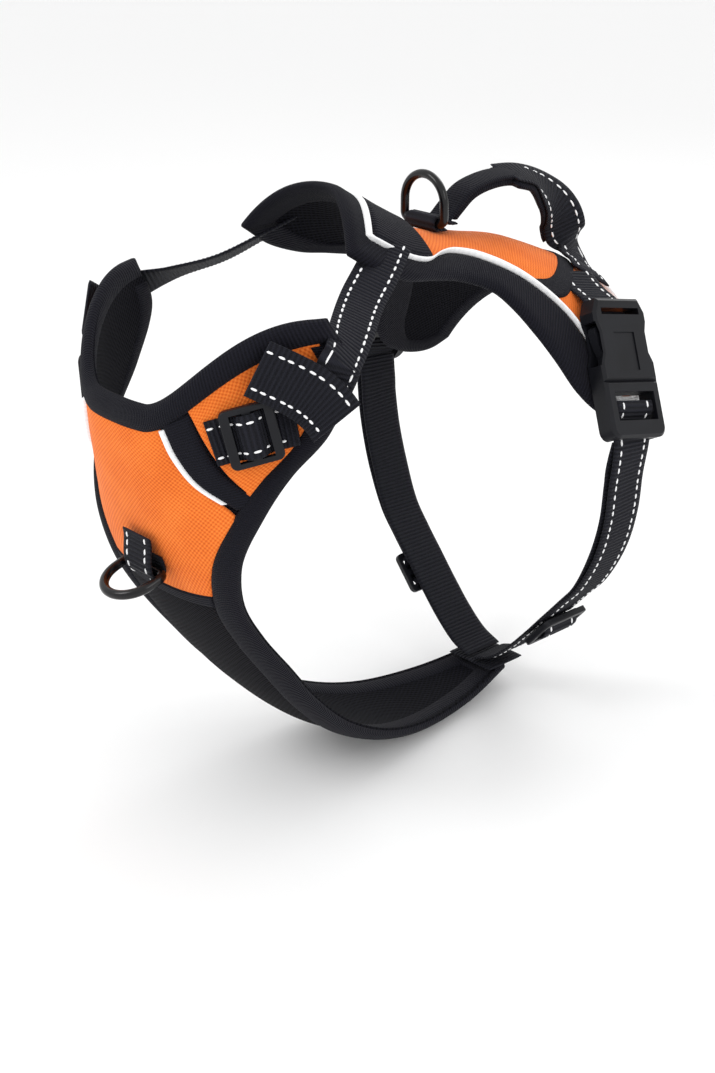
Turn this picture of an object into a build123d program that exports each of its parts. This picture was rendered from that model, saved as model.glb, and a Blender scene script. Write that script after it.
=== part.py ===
from build123d import *
import math
import os

# No pull dog harness, worn shape, size M (girth about 57 cm).  Millimetres.
# +X is the dog's left, +Y its tail, +Z up.  The origin is the middle of the girth opening.

# ---- driving dimensions ----
WIDE_WEB = 25.0          # girth, keeper, buckle and handle webbing
NARROW_WEB = 20.0        # shoulder, chest and ring loop webbing
WEB = 1.6                # webbing thickness
GAP = 0.3                # space between two layers that are not one piece
LINING = 2.5             # padded mesh lining
SHELL = (3.0, 4.1)       # woven outer cloth, between these heights over the body
BINDING = (3.0, 5.4)     # bound edges
PIPING = (4.5, 5.8)      # reflective piping
BAND = (4.5, 5.9)        # webbing sewn on the outer cloth
PIPING_WIDTH = 3.0
NECK_BINDING_WIDTH = 12.0
ARMHOLE_BINDING_WIDTH = 14.0
RING_WIRE = 2.15         # radius of the D-ring wire
RING_WIDTH = 26.7        # between the wire centres
RING_TALL = 22.7
RING_SHORT = 20.7
BUCKLE_WIDE = 37.0
BUCKLE_THICK = 10.0
FEMALE_LONG = 41.0
MALE_LONG = 28.0

# ---- body form: chest rows from the neckline to the belly ----
# centre Y, centre Z, edge X, edge Y, edge Z
CHEST_ROWS = [
    (-258, 98, 66, -201, 135), (-259, 86, 70, -190, 111), (-257, 72, 68, -201, 86),
    (-254, 57, 62, -217, 68), (-250, 41, 57, -228, 50), (-245, 23, 51, -234, 30),
    (-237, 3, 47, -231, 8), (-226, -17, 46, -220, -12), (-212, -38, 45, -204, -33),
    (-193, -61, 43, -186, -56), (-168, -84, 39, -162, -79), (-135, -101, 34, -132, -97),
    (-100, -110, 28, -100, -107), (-62, -111, 21, -63, -109), (-27, -106, 13, -27, -105)]
# back form at every 30 mm from Y -180: height of the spine and half width of the flank
SPINE = [187, 172, 154, 139.5, 132, 126, 114.5, 98, 92]
FLANK = [63, 64, 68, 74, 80, 82, 82, 81, 79]
FORM_START = -180.0
FORM_LENGTH = 240.0
# back pad rows from the neck to the tail: spine Y, edge angle in degrees from the spine, edge Y
COVER_ROWS = [
    (-134, 28, -150), (-122, 28.5, -132), (-110, 26.5, -113), (-98, 21, -99), (-86, 17.5, -87),
    (-75, 17.5, -75), (-64, 20.5, -64), (-54, 25, -53.5), (-44, 31, -45), (-34, 39, -36),
    (-24, 47.5, -30), (-12, 56, -27), (0, 61.5, -22), (9, 62.5, -13), (18, 61.5, -6), (27, 59.5, 0)]
PAD_ROWS = [
    (-146, 34, -163), (-134, 36, -146), (-121, 34.5, -128), (-108, 31, -110), (-95, 28.5, -95),
    (-83, 28.5, -83), (-72, 31, -72.5), (-63, 36.5, -66), (-54, 43.5, -60), (-45, 50.5, -53.5),
    (-36, 58, -46), (-22, 63.5, -35), (-7, 66, -22), (8, 66.5, -9), (21, 65, 2), (34, 61, 11)]

os.makedirs("parts", exist_ok=True)


def save(name, shape):
    export_step(shape, f"parts/{name}.step")


def save_pair(name, shape):
    save(f"{name}_left", shape)
    save(f"{name}_right", mirror(shape, about=Plane.YZ))


# ---- smooth surfaces ----
def smooth(rows, t):
    """A row of values between evenly spaced rows, with t from 0 to 1."""
    last = len(rows) - 1
    place = min(max(t, 0), 1) * last
    i = min(int(place), last - 1)
    f = place - i
    before = rows[i - 1] if i else [2 * p - q for p, q in zip(rows[0], rows[1])]
    after = rows[i + 2] if i + 2 <= last else [2 * p - q for p, q in zip(rows[last], rows[last - 1])]
    return [q + 0.5 * f * (r - p + f * (2 * p - 5 * q + 4 * r - w + f * (3 * (q - r) + w - p)))
            for p, q, r, w in zip(before, rows[i], rows[i + 1], after)]


def chest(u, v):
    """Chest bib: u runs from the right armhole, -1, to the left, 1; v from the neckline to the belly."""
    centre_y, centre_z, edge_x, edge_y, edge_z = smooth(CHEST_ROWS, v)
    side = abs(u)
    s = min(max((side - 0.25) / 0.7, 0), 1)
    horn = s * s * (3 - 2 * s)
    top = max(0.0, 1 - v / 0.28)
    rise = horn * top + side * side * (1 - top)
    return Vector(edge_x * u, centre_y + (edge_y - centre_y) * side ** 2.7, centre_z + (edge_z - centre_z) * rise)


def back_form(angle, y):
    """Ellipse round the back at Y: angle in degrees from the spine."""
    t = (y - FORM_START) / FORM_LENGTH
    height = smooth([(value,) for value in SPINE], t)[0]
    half = smooth([(value,) for value in FLANK], t)[0]
    return Vector(half * math.sin(math.radians(angle)), y, height * math.cos(math.radians(angle)))


def back_surface(rows):
    def surface(u, v):
        spine_y, angle, edge_y = smooth(rows, v)
        sweep = (math.sqrt(u * u + 0.0625) - 0.25) / (math.sqrt(1.0625) - 0.25)
        return back_form(u * angle, spine_y + (edge_y - spine_y) * sweep)
    return surface


cover = back_surface(COVER_ROWS)
pad = back_surface(PAD_ROWS)


def lifted(surface, u, v, lift):
    """The surface point moved out along its normal, away from the dog."""
    h = 0.004
    across = surface(u + h, v) - surface(u - h, v)
    along = surface(u, min(v + h, 1)) - surface(u, max(v - h, 0))
    normal = along.cross(across) if surface is chest else across.cross(along)
    return surface(u, v) + normal.normalized() * lift


def step(at, start, width, stride):
    """The parameter that lies width along the cloth from start, walking by stride."""
    place = start
    left = width
    while True:
        length = (at(place) - at(place + stride)).length
        if length >= left:
            return place + stride * left / length
        left -= length
        place += stride


def step_u(surface, v, width, start=1.0):
    return step(lambda u: surface(u, v), start, width, -0.01)


def step_v(surface, u, width, start, way):
    return step(lambda v: surface(u, v), start, width, 0.004 * way)


# ---- solids ----
def cloth(surface, place, layer, along=12, across=7):
    """A sewn panel or strip: place(s, t) gives u, v with s along it and t across it."""
    rows = []
    for i in range(along):
        s = i / (along - 1)
        spots = [place(s, j / (across - 1)) for j in range(across)]
        top = Edge.make_spline([lifted(surface, u, v, layer[1]) for u, v in spots])
        low = Edge.make_spline([lifted(surface, u, v, layer[0]) for u, v in spots])
        rows.append((top, low))
    sections = [Wire([top, Edge.make_line(top @ 1, low @ 1), low, Edge.make_line(low @ 0, top @ 0)])
                for top, low in rows]
    sleeve = Shell.make_loft(sections)
    ends = [Face.make_surface_from_curves(*rows[0]), Face.make_surface_from_curves(*rows[-1])]
    return Solid(Shell(list(sleeve.faces()) + ends))


def reach(route):
    """The distance along a route at each of its points."""
    total = [0.0]
    for p, q in zip(route, route[1:]):
        total.append(total[-1] + math.dist(p[:3], q[:3]))
    return total


def travel(route, t):
    """A smooth curve through unevenly spaced points, with t from 0 to 1 by distance."""
    total = reach(route)
    wanted = min(max(t, 0), 1) * total[-1]
    i = max(k for k in range(len(route) - 1) if total[k] <= wanted)
    span = total[i + 1] - total[i]
    f = (wanted - total[i]) / span

    def slope(k):
        low = max(k - 1, 0)
        high = min(k + 1, len(route) - 1)
        return [(b - a) / (total[high] - total[low]) for a, b in zip(route[low], route[high])]
    bend = f * f * (3 - 2 * f)
    return [p * (1 - bend) + q * bend + span * (m * f * (1 - f) ** 2 - w * f * f * (1 - f))
            for p, q, m, w in zip(route[i], route[i + 1], slope(i), slope(i + 1))]


def ribbon(route, width, layer, count=14):
    """Flat webbing along (x, y, z, normal x, normal y, normal z) points."""
    sections = []
    for i in range(count):
        t = i / (count - 1)
        here = travel(route, t)
        ahead = travel(route, min(t + 0.01, 1))
        behind = travel(route, max(t - 0.01, 0))
        tangent = (Vector(*ahead[:3]) - Vector(*behind[:3])).normalized()
        side = tangent.cross(Vector(*here[3:])).normalized()
        out = side.cross(tangent)
        middle = Vector(*here[:3])
        edge = side * (width / 2)
        sections.append(Wire.make_polygon([middle + edge + out * layer[1], middle - edge + out * layer[1],
                                           middle - edge + out * layer[0], middle + edge + out * layer[0]]))
    return Solid.make_loft(sections)


def slab(x, y, z, centre=(0, 0, 0)):
    return Pos(*centre) * Box(x, y, z)


def d_ring(tall):
    """A D-ring standing up in XZ with the middle of its straight bar at the origin."""
    half = RING_WIDTH / 2
    corner = 3.0
    straight = tall - half
    near = corner * 0.293
    rim = Wire([
        Edge.make_line((0, 0, 0), (half - corner, 0, 0)),
        Edge.make_three_point_arc((half - corner, 0, 0), (half - near, 0, near), (half, 0, corner)),
        Edge.make_line((half, 0, corner), (half, 0, straight)),
        Edge.make_three_point_arc((half, 0, straight), (half * 0.7071, 0, straight + half * 0.7071), (0, 0, tall))])
    section = Plane(origin=(0, 0, 0), z_dir=(1, 0, 0)) * Circle(RING_WIRE)
    side = sweep(section, path=rim)
    return side + mirror(side, about=Plane.YZ)


def ring_loop(tail):
    """Webbing round a D-ring's bar, which lies along X, with its tail along +Z."""
    inner = RING_WIRE + GAP
    outer = inner + WEB
    eye = Circle(outer) - Circle(inner)
    leg = Pos(tail / 2, -inner - WEB / 2) * Rectangle(tail, WEB)
    profile = eye + leg
    return extrude(Plane(origin=(0, 0, 0), x_dir=(0, 0, 1), z_dir=(1, 0, 0)) * profile, NARROW_WEB / 2, both=True)


# ---- chest bib ----
def piping_u(v):
    """Where the chest piping runs: from 24 mm beside the middle to the armhole."""
    return smooth([(0.335,), (0.375,), (0.44,), (0.58,), (0.84,)], v / 0.26)[0]


def neck_edge(u):
    return step_v(chest, u, NECK_BINDING_WIDTH, 0.0, 1)


def armhole_edge(v):
    return step_u(chest, v, ARMHOLE_BINDING_WIDTH)


BAND_WIDTH = 12.0
BAND_END = 0.236                     # where the band runs into the armhole binding
HEM = 0.41                           # the woven middle ends and the mesh belly panel begins
BELLY_END = 0.968                    # the bindings stop at the belly hem
SEAM = 0.012                         # space between neighbouring panels, as a share of the half width


def band_outer(v):
    u = piping_u(v)
    return u + 0.05 * BAND_WIDTH / (chest(u + 0.05, v) - chest(u, v)).length


def centre_half(v):
    """Half width of the middle panel: to the piping, and below it to the armhole binding."""
    blend = min(max((v - BAND_END - 0.004) / 0.03, 0), 1)
    return (piping_u(min(v, BAND_END)) - 0.02) * (1 - blend) + (armhole_edge(v) - SEAM) * blend


def chest_pieces():
    save("chest_lining", cloth(chest, lambda s, t: (2 * t - 1, s), (0, LINING), 24, 25))
    save("neck_binding", cloth(chest, lambda s, t: (2 * s - 1, neck_edge(2 * s - 1) * t), BINDING, 25, 4))
    save("belly_hem", cloth(chest, lambda s, t: (2 * t - 1, BELLY_END + 0.004 + 0.028 * s), BINDING, 3, 9))
    tip = 0.08                       # the neck binding covers the armhole edge above this

    def armhole(s, t):
        v = tip + (BELLY_END - tip) * s
        inner = armhole_edge(v)
        return (inner + (1 - inner) * t, v)
    save_pair("armhole_binding", cloth(chest, armhole, BINDING, 26, 4))

    def band(s, t):
        start = neck_edge(0.45) + 0.01
        v = start + (BAND_END - start) * s
        inner = piping_u(v)
        outer = min(band_outer(v), armhole_edge(v) - SEAM)
        return (inner + (outer - inner) * t, v)
    save_pair("chest_band", cloth(chest, band, SHELL, 9, 4))

    def line(s, t):
        v = neck_edge(0.35) + 0.004 + (BAND_END - neck_edge(0.35)) * s
        return (piping_u(v) + 0.05 * (t - 0.5), v)
    save_pair("chest_piping", cloth(chest, line, PIPING, 10, 3))

    def wing(s, t):
        row = 0.066 * (1 - s) + 0.205 * s
        inner = band_outer(row) + 0.02
        outer = armhole_edge(row) - 0.02
        u = inner + (outer - inner) * t
        return (u, (neck_edge(u) + 0.008) * (1 - s) + 0.205 * s)
    save_pair("chest_wing", cloth(chest, wing, SHELL, 10, 8))

    def centre(s, t):
        start = neck_edge(0) + 0.01
        v = start + (HEM - start) * s
        return (centre_half(v) * (2 * t - 1), v)
    save("chest_cover", cloth(chest, centre, SHELL, 16, 13))

    def belly(s, t):
        v = HEM + 0.006 + (BELLY_END - HEM - 0.006) * s
        return ((armhole_edge(v) - SEAM) * (2 * t - 1), v)
    save("belly_panel", cloth(chest, belly, SHELL, 16, 9))


FRONT_RING = (4, -252.2, 17.8)       # middle of the front ring's bar
FRONT_RING_DROOP = 108.0             # degrees from straight up, forward


def front_ring_pieces():
    loop_tilt = 19.0                  # the chest leans forward here
    save("front_ring_loop", Pos(*FRONT_RING) * Rot(loop_tilt, 0, 0) * ring_loop(17.5))
    save("front_ring", Pos(*FRONT_RING) * Rot(FRONT_RING_DROOP, 0, 0) * d_ring(RING_SHORT))


# ---- shoulder straps, keepers and chest adjusters ----
ADJUSTER_U = 0.745
ADJUSTER_V = 0.118


def chest_frame(u, v, lift):
    """A plane on the bib: X along it towards the armhole, Z out of the cloth."""
    h = 0.01
    along = (lifted(chest, u + h, v, lift) - lifted(chest, u - h, v, lift)).normalized()
    out = (lifted(chest, u, v, lift + 1) - lifted(chest, u, v, lift)).normalized()
    return Plane(origin=lifted(chest, u, v, lift), x_dir=along, z_dir=out)


def adjuster(web):
    """A tri-glide: X along the strap, its underside at Z = 0."""
    long = 23.0
    wide = web + 6
    slot = 5.6
    bar = 3.6
    frame = slab(long, wide, 3.0, (0, 0, 1.5))
    frame = fillet(frame.edges().filter_by(Axis.Z), 3.0)
    for side in (-1, 1):
        frame -= slab(slot, web + 1, 8, (side * (slot + bar) / 2, 0, 1.5))
    frame = fillet(frame.faces().sort_by(Axis.Z)[-1].outer_wire().edges(), 0.8)
    return frame


def adjuster_wrap(web):
    """The turn of webbing that goes up one slot, over the middle bar and down the other."""
    bar = 3.6
    reach = bar / 2 + GAP
    top = 3.0 + GAP
    outline = slab(2 * (reach + WEB), web, top + WEB, (0, 0, (top + WEB) / 2))
    outline = fillet(outline.edges().filter_by(Axis.Y).sort_by(Axis.Z)[-2:], 1.5)
    return outline - slab(2 * reach, web + 1, 2 * top, (0, 0, 0))


def station(point, out):
    return (point.X, point.Y, point.Z, out.X, out.Y, out.Z)


def on_surface(surface, u, v, lift):
    """A point over the cloth and the outward direction there, for a ribbon's route."""
    point = lifted(surface, u, v, lift)
    return station(point, lifted(surface, u, v, lift + 1) - point)


def shoulder_pieces():
    def chest_strap(s, t):
        u = 0.60 + 0.28 * s
        upper = step_v(chest, u, NARROW_WEB / 2, ADJUSTER_V, -1)
        lower = step_v(chest, u, NARROW_WEB / 2, ADJUSTER_V, 1)
        return (u, upper + (lower - upper) * t)
    save_pair("chest_strap", cloth(chest, chest_strap, (4.5, 6.0), 8, 5))

    def keeper(s, t):
        side = t - 0.5
        return (0.78 + 0.198 * s + side * (0.11 * s - 0.15), 0.035 + 0.09 * s + side * (0.033 + 0.017 * s))
    save_pair("shoulder_keeper", cloth(chest, keeper, (11.4, 13.0), 8, 5))

    # from the front of the back pad down to the keeper on the bib
    route = [
        (27.1, -120.5, 157.8, 0.5, -0.25, 0.83), (31.7, -130.7, 152.7, 0.55, -0.3, 0.78),
        (38.9, -146.5, 142, 0.62, -0.36, 0.7), (46.8, -163.2, 130.8, 0.68, -0.42, 0.6),
        (55.5, -179, 122.5, 0.74, -0.46, 0.5), (64.2, -191.6, 117.6, 0.8, -0.48, 0.36),
        (71.5, -200.6, 112.7, 0.86, -0.46, 0.2)]
    save_pair("shoulder_strap", ribbon(route, NARROW_WEB, (0, WEB), 20))

    place = chest_frame(ADJUSTER_U, ADJUSTER_V, 6.8).location
    save_pair("shoulder_adjuster", place * adjuster(NARROW_WEB))
    save_pair("shoulder_adjuster_wrap", place * adjuster_wrap(NARROW_WEB))


# ---- back pad ----
def back_pieces():
    save("back_pad", cloth(pad, lambda s, t: (2 * t - 1, s), (0, LINING), 24, 21))
    save("back_cover", cloth(cover, lambda s, t: (2 * t - 1, s), SHELL, 24, 21))

    def side_piping(s, t):
        v = 0.01 + 0.96 * s
        inner = step_u(cover, v, PIPING_WIDTH)
        return (inner + (1 - inner) * t, v)
    save_pair("back_piping", cloth(cover, side_piping, PIPING, 26, 3))

    def end_piping(start, way):
        def place(s, t):
            u = (2 * s - 1) * 0.9
            return (u, start + way * 0.026 * t)
        return cloth(cover, place, PIPING, 17, 3)
    save("back_piping_front", end_piping(0.0, 1))
    save("back_piping_rear", end_piping(0.974, 1))

    def front_band(s, t):
        u = (2 * s - 1) * 0.88
        return (u, 0.034 + 0.125 * t)
    save("front_cross_band", cloth(cover, front_band, BAND, 17, 5))

    def rear_band(s, t):
        u = (2 * s - 1) * 0.86
        return (u, 0.60 + 0.065 * t)
    save("rear_cross_band", cloth(cover, rear_band, BAND, 17, 4))


BACK_RING = (0, -80.5, 145.6)        # middle of the back ring's bar
BACK_RING_LEAN = 0.0


def back_ring_pieces():
    save("back_ring", Pos(*BACK_RING) * Rot(BACK_RING_LEAN, 0, 0) * d_ring(RING_TALL))
    # the loop's tail lies down the back towards the tail
    save("back_ring_loop", Pos(*BACK_RING) * Rot(-102, 0, 0) * ring_loop(14.0))


# ---- handle ----
HANDLE = [
    (0, -64, 150, 0, -0.62, 0.78), (0.5, -54, 157.5, 0.05, -0.45, 0.88), (1, -41, 161, 0.08, -0.2, 0.97),
    (2, -27, 161.5, 0.15, 0.0, 0.98), (4, -13, 158.5, 0.3, 0.15, 0.92), (7, -1.5, 150, 0.5, 0.25, 0.8),
    (9, 7, 139.5, 0.68, 0.1, 0.6), (10, 11.2, 127.5, 0.75, 0.05, 0.45)]
HANDLE_FOOT_FRONT = [
    (0, -75.8, 142.7, 0, -0.15, 1), (0, -71.8, 143.9, 0, -0.4, 0.92), (0, -67.8, 146.8, 0, -0.6, 0.8),
    (0, -64.45, 149.66, 0, -0.6, 0.8)]
HANDLE_FOOT_REAR = [(10.2, 11.7, 125.8, 0.75, 0.05, 0.45), (10.7, 12.8, 121.5, 0.78, 0.2, 0.5),
                    (12.6, 13.4, 117.2, 0.62, 0.38, 0.7)]


def handle_pieces():
    save("handle_webbing", ribbon(HANDLE, WIDE_WEB, (0, WEB), 22))
    save("handle_lining", ribbon(HANDLE, WIDE_WEB + 1, (-3.6, -GAP), 22))

    # the front foot is sewn over the ring loop's tail, the rear foot lies down the left flank
    save("handle_foot_front", ribbon(HANDLE_FOOT_FRONT, WIDE_WEB, (0, WEB), 8))
    flank = [on_surface(cover, 0.2, 0.865, 6.5), on_surface(cover, 0.28, 0.86, 6.2), on_surface(cover, 0.36, 0.845, 6.2)]
    save("handle_foot_rear", ribbon(HANDLE_FOOT_REAR + flank, WIDE_WEB, (0, WEB), 12))


# ---- side-release buckles ----
BUCKLE_DOWN = Vector(0.45, -0.2, -0.87).normalized()
BUCKLE_SIDE = (Vector(0, 1, 0) - BUCKLE_DOWN * BUCKLE_DOWN.Y).normalized()
BUCKLE_OUT = BUCKLE_DOWN.cross(BUCKLE_SIDE)
BUCKLE_BACK = Vector(85, -22, 73) - BUCKLE_OUT * BUCKLE_THICK
# X across the strap, Y up the strap, Z out of the body
BUCKLE_PLANE = Plane(origin=BUCKLE_BACK, x_dir=BUCKLE_SIDE, z_dir=BUCKLE_OUT)
MOUTH = 15.3                         # half width of the female half's mouth
WINDOW = (8.0, 29.5)                 # side windows, up from the mouth


def female_half():
    half = BUCKLE_WIDE / 2
    outline = Polyline((-half, 0), (half, 0), (half, 9), (half - 2.2, 14), (half - 2.2, 24), (half - 0.6, 29),
                       (half - 0.6, 34), (half - 4, FEMALE_LONG), (4 - half, FEMALE_LONG), (0.6 - half, 34),
                       (0.6 - half, 29), (2.2 - half, 24), (2.2 - half, 14), (-half, 9), close=True)
    body = extrude(make_face(outline), BUCKLE_THICK)
    body = chamfer(body.faces().sort_by(Axis.Z)[-1].outer_wire().edges(), 1.4)
    body -= slab(2 * MOUTH, WINDOW[1] + 2, 6.0, (0, WINDOW[1] / 2 - 1, 5.0))
    for side in (-1, 1):
        body -= slab(6.4, WINDOW[1] - WINDOW[0], 7.4, (side * 15.8, sum(WINDOW) / 2, 5.4))
    body -= slab(WIDE_WEB + 1, 3.2, 14, (0, 34.4, 5))
    body -= slab(14, 19, 1.2, (0, 14.5, BUCKLE_THICK))
    body -= slab(WIDE_WEB + 1, 10, 5.2, (0, 38.5, 0))
    return body


def male_half():
    outline = slab(BUCKLE_WIDE, MALE_LONG, BUCKLE_THICK, (0, -MALE_LONG / 2, BUCKLE_THICK / 2))
    outline = fillet(outline.edges().filter_by(Axis.Z).sort_by(Axis.Y)[:2], 5.0)
    body = chamfer(outline.faces().sort_by(Axis.Z)[-1].outer_wire().edges(), 1.5)
    body -= slab(WIDE_WEB + 2, 14, 14, (0, -12.5, 5))                  # window
    body -= slab(WIDE_WEB + 2, 12, 5.0, (0, -24.5, 2.4))               # the strap leaves under this edge
    body += slab(WIDE_WEB + 3, 3.6, 2.6, (0, -12.0, 4.2))              # bar inside the window
    body += slab(6, 26, 3.6, (0, 12.9, 5.0))                           # middle tongue
    return body


def prong():
    """One spring arm on the +X side, with its wing in the side window."""
    outline = Polyline((9.5, 0.4), (13.5, 0.4), (13.5, 12), (15.3, 16), (16.5, 20), (17.1, 24), (16.6, 26.5),
                       (13.5, 28.5), (10.5, 28.5), (9.5, 26), close=True)
    return Pos(0, 0, 2.6) * extrude(make_face(outline), 4.8)


def on_buckle(y, z):
    """A ribbon station in the buckle's own frame: y up the strap, z out of the body."""
    return station(BUCKLE_PLANE.from_local_coords(Vector(0, y, z)), BUCKLE_OUT)


def buckle_pieces():
    place = BUCKLE_PLANE.location
    save_pair("buckle_female", place * female_half())
    save_pair("buckle_male", place * male_half())
    save_pair("buckle_prong_rear", place * prong())
    save_pair("buckle_prong_front", place * mirror(prong(), about=Plane.YZ))

    strap = [on_buckle(62, -14.3), on_buckle(56, -10.3), on_buckle(50, -6.0), on_buckle(44, -1.2),
             on_buckle(39, 0.9), on_buckle(35.0, 1.3)]
    save_pair("buckle_strap", ribbon(strap, WIDE_WEB, (-0.8, 0.8), 12))


# ---- girth straps ----
GIRTH = [
    (87.9, -28.5, 31), (87.5, -28.5, 24), (85.0, -27.5, 4), (79.5, -27, -16), (70.5, -27.5, -37),
    (60.0, -28, -50.2), (49.0, -28, -63.0), (38.0, -28, -75.8), (26.0, -28, -88.6), (14.0, -28, -98.5),
    (2.0, -28, -103.5)]
STRAIGHT = Vector(-11, 0, -12.8).normalized()      # the run that the girth adjuster slides on
ADJUSTER_AT = Vector(46.0, -28, -66.5)


def girth_stations(points, lift):
    """Adds the outward normal, square to the strap in its own plane."""
    found = []
    for i, point in enumerate(points):
        ahead = Vector(*points[min(i + 1, len(points) - 1)])
        behind = Vector(*points[max(i - 1, 0)])
        tangent = (ahead - behind).normalized()
        out = Vector(0, 1, 0).cross(tangent) * -1
        moved = Vector(*point) + out * lift
        found.append(station(moved, out))
    return found


def girth_pieces():
    inner = girth_stations(GIRTH, 0)
    save_pair("girth_strap", ribbon(inner, WIDE_WEB, (-WEB, 0), 26))
    outer = girth_stations(GIRTH[3:7], 2 * GAP)
    save_pair("girth_strap_outer", ribbon(outer, WIDE_WEB, (0, WEB), 10))

    tail = girth_stations(GIRTH[:4], 5 * GAP)[1:3]
    route = [on_buckle(-9.6, 7.6), on_buckle(-13.6, 7.4), on_buckle(-17.4, 4.4), on_buckle(-21.0, 2.3),
             on_buckle(-28.5, 1.9)] + tail
    save_pair("girth_strap_end", ribbon(route, WIDE_WEB, (0, WEB), 16))
    save("belly_sleeve", slab(24, 26, 1.2, (0, -28, -104.8)))

    out = Vector(0, 1, 0).cross(STRAIGHT) * -1
    place = Plane(origin=ADJUSTER_AT + out * (WEB + 4 * GAP), x_dir=STRAIGHT, z_dir=out).location
    save_pair("girth_adjuster", place * adjuster(WIDE_WEB))
    save_pair("girth_adjuster_wrap", place * adjuster_wrap(WIDE_WEB))


chest_pieces()
front_ring_pieces()
shoulder_pieces()
back_pieces()
back_ring_pieces()
handle_pieces()
buckle_pieces()
girth_pieces()
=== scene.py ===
import math
import bpy
from mathutils import Matrix, Vector


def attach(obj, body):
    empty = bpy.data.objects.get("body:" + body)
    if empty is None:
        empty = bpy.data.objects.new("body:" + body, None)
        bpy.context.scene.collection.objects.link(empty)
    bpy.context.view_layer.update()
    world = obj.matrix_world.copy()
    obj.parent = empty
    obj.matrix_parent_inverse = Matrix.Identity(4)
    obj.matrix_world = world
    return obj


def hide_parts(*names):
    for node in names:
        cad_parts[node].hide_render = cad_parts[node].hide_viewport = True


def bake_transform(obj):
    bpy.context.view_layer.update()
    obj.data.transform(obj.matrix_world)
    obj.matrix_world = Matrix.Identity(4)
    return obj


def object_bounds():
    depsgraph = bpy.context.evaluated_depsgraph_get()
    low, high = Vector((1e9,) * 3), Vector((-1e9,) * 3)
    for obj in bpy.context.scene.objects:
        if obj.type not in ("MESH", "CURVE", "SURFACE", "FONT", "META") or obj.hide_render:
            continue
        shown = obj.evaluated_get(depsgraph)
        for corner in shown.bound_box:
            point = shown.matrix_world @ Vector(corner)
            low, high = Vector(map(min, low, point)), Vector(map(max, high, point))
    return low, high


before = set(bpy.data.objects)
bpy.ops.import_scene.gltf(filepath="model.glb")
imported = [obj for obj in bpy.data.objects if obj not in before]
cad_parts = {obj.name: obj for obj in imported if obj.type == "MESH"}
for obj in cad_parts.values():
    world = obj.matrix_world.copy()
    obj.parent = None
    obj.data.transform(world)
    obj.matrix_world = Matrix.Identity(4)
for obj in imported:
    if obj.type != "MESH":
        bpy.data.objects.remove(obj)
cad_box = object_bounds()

MM = 0.001
ROOT = "harness"

# ---- sizes, in millimetres ----
WIDE_WEB = 25.0
NARROW_WEB = 20.0
WEB = 1.6                # thickness of the webbing
RING_WIRE = 2.15         # radius of the rings' wire
RING_WIDTH = 26.7
RING_CORNER = 3.0
BUCKLE_THICK = 10.0
LINING_TOP = 3.0         # heights above the body form
CLOTH_TOP = 4.3
PIPING_BASE = 3.6

# ---- how the chest and back are curved ----
HORN_START = 0.25        # where the bib starts to rise to its upper corners
HORN_SPAN = 0.7
HORN_DEPTH = 0.28        # how far below the neckline the corners are felt
CHEST_ROUND = 2.7
SPINE_ROUND = 0.25       # rounds the back's outline where it crosses the spine

# ---- the same body form as the CAD model ----
CHEST_ROWS = [
    (-258, 98, 66, -201, 135), (-259, 86, 70, -190, 111), (-257, 72, 68, -201, 86),
    (-254, 57, 62, -217, 68), (-250, 41, 57, -228, 50), (-245, 23, 51, -234, 30),
    (-237, 3, 47, -231, 8), (-226, -17, 46, -220, -12), (-212, -38, 45, -204, -33),
    (-193, -61, 43, -186, -56), (-168, -84, 39, -162, -79), (-135, -101, 34, -132, -97),
    (-100, -110, 28, -100, -107), (-62, -111, 21, -63, -109), (-27, -106, 13, -27, -105)]
SPINE = [187, 172, 154, 139.5, 132, 126, 114.5, 98, 92]
FLANK = [63, 64, 68, 74, 80, 82, 82, 81, 79]
FORM_START = -180.0
FORM_LENGTH = 240.0
COVER_ROWS = [
    (-134, 28, -150), (-122, 28.5, -132), (-110, 26.5, -113), (-98, 21, -99), (-86, 17.5, -87),
    (-75, 17.5, -75), (-64, 20.5, -64), (-54, 25, -53.5), (-44, 31, -45), (-34, 39, -36),
    (-24, 47.5, -30), (-12, 56, -27), (0, 61.5, -22), (9, 62.5, -13), (18, 61.5, -6), (27, 59.5, 0)]
PAD_ROWS = [
    (-146, 34, -163), (-134, 36, -146), (-121, 34.5, -128), (-108, 31, -110), (-95, 28.5, -95),
    (-83, 28.5, -83), (-72, 31, -72.5), (-63, 36.5, -66), (-54, 43.5, -60), (-45, 50.5, -53.5),
    (-36, 58, -46), (-22, 63.5, -35), (-7, 66, -22), (8, 66.5, -9), (21, 65, 2), (34, 61, 11)]


def smooth(rows, t):
    """A smooth curve through evenly spaced rows of numbers, with t from 0 to 1."""
    last = len(rows) - 1
    place = min(max(t, 0), 1) * last
    i = min(int(place), last - 1)
    f = place - i
    before = rows[i - 1] if i else [2 * p - q for p, q in zip(rows[0], rows[1])]
    after = rows[i + 2] if i + 2 <= last else [2 * p - q for p, q in zip(rows[last], rows[last - 1])]
    return [q + 0.5 * f * (r - p + f * (2 * p - 5 * q + 4 * r - w + f * (3 * (q - r) + w - p)))
            for p, q, r, w in zip(before, rows[i], rows[i + 1], after)]


def chest(u, v):
    """Chest bib: u from the right armhole, -1, to the left, 1; v from the neckline to the belly."""
    centre_y, centre_z, edge_x, edge_y, edge_z = smooth(CHEST_ROWS, v)
    side = abs(u)
    s = min(max((side - HORN_START) / HORN_SPAN, 0), 1)
    horn = s * s * (3 - 2 * s)
    top = max(0.0, 1 - v / HORN_DEPTH)
    rise = horn * top + side * side * (1 - top)
    back = side ** CHEST_ROUND
    y = centre_y + (edge_y - centre_y) * back
    return Vector((edge_x * u, y, centre_z + (edge_z - centre_z) * rise))


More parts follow.
